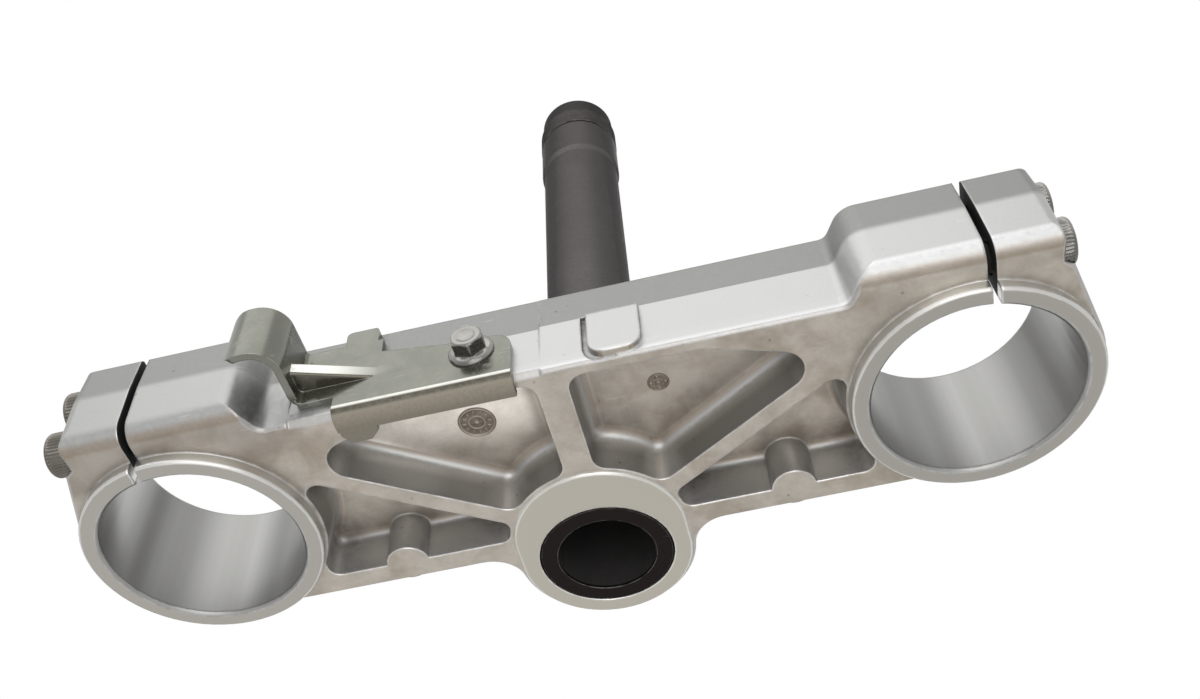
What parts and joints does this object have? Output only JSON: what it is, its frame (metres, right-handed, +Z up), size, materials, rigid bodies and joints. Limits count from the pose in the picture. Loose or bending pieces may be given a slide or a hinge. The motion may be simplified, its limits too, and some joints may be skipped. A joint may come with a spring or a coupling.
{
  "type": "motorcycle triple clamp",
  "caption": "Lower fork yoke of a motorcycle: ribbed die-cast beam with split fork clamps, pressed-in steering stem, pinch bolts and a folded hose guide.",
  "frame": {"origin": "on the steering axis, at the lower end face of the steering stem", "axes": "+Z up the steering stem, -Y to the front of the motorcycle (the pinch bolt side), X across the forks"},
  "size_m": [0.275, 0.1139, 0.255],
  "materials": {
    "yoke_casting": "die-cast skin with machined fork bores, satin",
    "stem_steel": "dark satin steel with ground bearing seats",
    "pinch_bolt_steel": "zinc-plated, dull",
    "bracket_sheet": "zinc-plated sheet, dirty at the fold",
    "bracket_bolt_steel": "zinc-plated"
  },
  "bodies": {
    "root": {"lower_yoke": "yoke_casting", "steering_stem": "stem_steel", "pinch_bolts": "pinch_bolt_steel", "hose_guide_bracket": "bracket_sheet", "bracket_bolt": "bracket_bolt_steel"}
  },
  "joints": []
}
